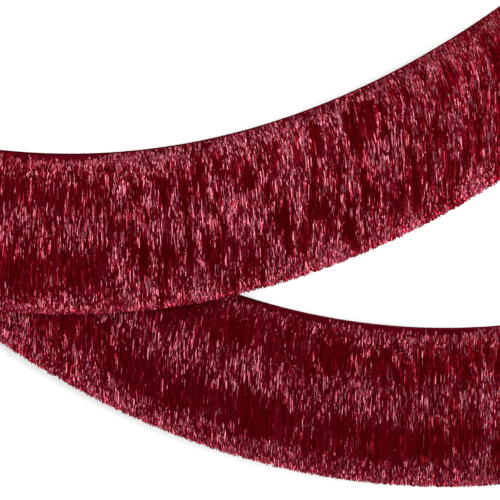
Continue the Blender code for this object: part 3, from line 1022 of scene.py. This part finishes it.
cordNodes, coilNodes = cordTree(), coilTree()
addCord("twisted_header_cord", headerLine(), cordNodes, {**cord, "Yarn": yarn}, "header_cord")
for where, tier in (("upper", upper), ("lower", lower)):
    values = {**cord, "Step": loop["twistStep"], "Yarn": yarn}
    addCord("twisted_loop_" + where, loopLine(tier), cordNodes, values, "end_loop_" + where)
    start = whipping["start"] + coil["Thread"]
    end = whipping["start"] + whipping["length"] - coil["Thread"]
    middle = [pastEnd(tier, along, legsApart / 2) for along in (start, end)]
    addCord("wound_" + where, lineMesh("coilLine", middle, [Vector((0, 1, 0))] * 2), coilNodes,
            {**coil, "Yarn": wound}, "whipping_" + where)
print("cord, loops and whipping laid up")

for node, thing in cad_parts.items():
    if node.startswith("heading"):
        thing.data.materials.clear()
        thing.data.materials.append(pressedFilm)


# the stage, the lamps and the camera

studio = {
    "viewWidth": 0.625, "viewCentre": (0.3325, -0.1254), "cameraAway": 2.0,
    "floorHeight": -1.1, "floorHalf": 30, "floorGrey": (0.55, 0.55, 0.55, 1), "floorRough": 0.9,
    "wallPlace": 0.135, "wallLeft": -3, "wallRight": 4, "wallTop": 2.2,
    "wallGrey": (0.45, 0.45, 0.45, 1), "wallGlow": 0.28, "frontGlow": 0.33,
}
# each of these lamps stands in front of the banner, and once more behind it
lamps = {
    "overhead": {"place": (0.3, 1.3, 1.4), "size": (1.3, 0.6), "power": 22},
    "leftStrip": {"place": (-1.7, 1.2, 0.25), "size": (0.8, 1.8), "power": 14.5},
    "rightStrip": {"place": (1.8, 1.5, 0.35), "size": (0.95, 1.8), "power": 18.5},
}
wallLight = {"place": (0.6, -2.0, -0.15), "aim": (0.3, 0, -0.15), "size": (0.5, 0.5), "power": 84}
# the room's glow: bright past the wall, dim overhead and uneven in front
sky = {"behind": (-0.2, 0.35), "above": (0.35, 0.9), "dimming": 0.7, "up": 0.8, "right": 0.35, "sides": 0.8}


def addPlane(name, corners):
    mesh = bpy.data.meshes.new(name)
    mesh.from_pydata(corners, [], [(0, 1, 2, 3)])
    made = bpy.data.objects.new(name, mesh)
    bpy.context.scene.collection.objects.link(made)
    return made


def addLamp(name, place, aim, size, power):
    lamp = bpy.data.lights.new(name, "AREA")
    lamp.shape = "RECTANGLE"
    lamp.size, lamp.size_y = size
    lamp.energy = power
    made = bpy.data.objects.new(name, lamp)
    made.location = place
    made.rotation_euler = (Vector(aim) - Vector(place)).to_track_quat("-Z", "Y").to_euler()
    bpy.context.scene.collection.objects.link(made)
    return made


wallY, floorZ = studio["wallPlace"], studio["floorHeight"]
half = studio["floorHalf"]
floor = addPlane("floor", [
    (-half, -half, floorZ), (half, -half, floorZ), (half, half, floorZ), (-half, half, floorZ)])
made, tree, shader = newMaterial("paleFloor")
shader.inputs["Base Color"].default_value = studio["floorGrey"]
shader.inputs["Roughness"].default_value = studio["floorRough"]
floor.data.materials.append(made)

# a white wall that shows only from the front, so the banner's back can be seen too
left, right, top = studio["wallLeft"], studio["wallRight"], studio["wallTop"]
wall = addPlane("wall", [
    (left, wallY, floorZ), (right, wallY, floorZ), (right, wallY, top), (left, wallY, top)])
made, tree, shader = newMaterial("whiteWall")
shader.inputs["Base Color"].default_value = studio["wallGrey"]
shader.inputs["Roughness"].default_value = 1
shader.inputs["Specular IOR Level"].default_value = 0
shader.inputs["Emission Color"].default_value = (1, 1, 1, 1)
shader.inputs["Emission Strength"].default_value = studio["wallGlow"]
see = addNode(tree, "ShaderNodeMixShader")
plug(tree, addNode(tree, "ShaderNodeNewGeometry").outputs["Backfacing"], see.inputs[0])
plug(tree, shader.outputs[0], see.inputs[1])
plug(tree, addNode(tree, "ShaderNodeBsdfTransparent").outputs[0], see.inputs[2])
plug(tree, see.outputs[0], tree.nodes["Material Output"].inputs["Surface"])
wall.data.materials.append(made)

centreX, centreZ = studio["viewCentre"]
aim = (centreX, 0, centreZ)
for end, back in ((-1, ""), (1, "Behind")):
    for name, lamp in lamps.items():
        x, y, z = lamp["place"]
        addLamp(name + back, (centreX + x, end * y, centreZ + z), aim, lamp["size"], lamp["power"])

# a lamp that lights only the wall, so the banner's soft shadow falls there as in the photo
wallLamp = addLamp("wallLamp", wallLight["place"], wallLight["aim"], wallLight["size"], wallLight["power"])
onlyWall = bpy.data.collections.new("onlyWall")
onlyWall.objects.link(wall)
wallLamp.light_linking.receiver_collection = onlyWall

world = bpy.data.worlds.new("studio")
bpy.context.scene.world = world
world.use_nodes = True
tree = world.node_tree
background = tree.nodes["Background"]
x, y, z = parted(tree, addNode(tree, "ShaderNodeTexCoord").outputs["Generated"])
behind = y.smooth(*sky["behind"])
above = z.smooth(*sky["above"])
front = studio["frontGlow"] * (1 + z * sky["up"] + x * sky["right"] + x * x * sky["sides"])
plug(tree, front.blendTo(1.0, behind) * (1 - above * sky["dimming"]), background.inputs["Strength"])
background.inputs["Color"].default_value = (1, 1, 1, 1)

camera = bpy.data.cameras.new("camera")
eye = bpy.data.objects.new("camera", camera)
bpy.context.scene.collection.objects.link(eye)
eye.location = (centreX, -studio["cameraAway"], centreZ)
eye.rotation_euler = (math.pi / 2, 0, 0)
camera.lens = camera.sensor_width * (studio["cameraAway"] + upper.plane) / studio["viewWidth"]
bpy.context.scene.camera = eye
bpy.context.scene.view_settings.view_transform = "Standard"
print("stage, lamps and camera set")
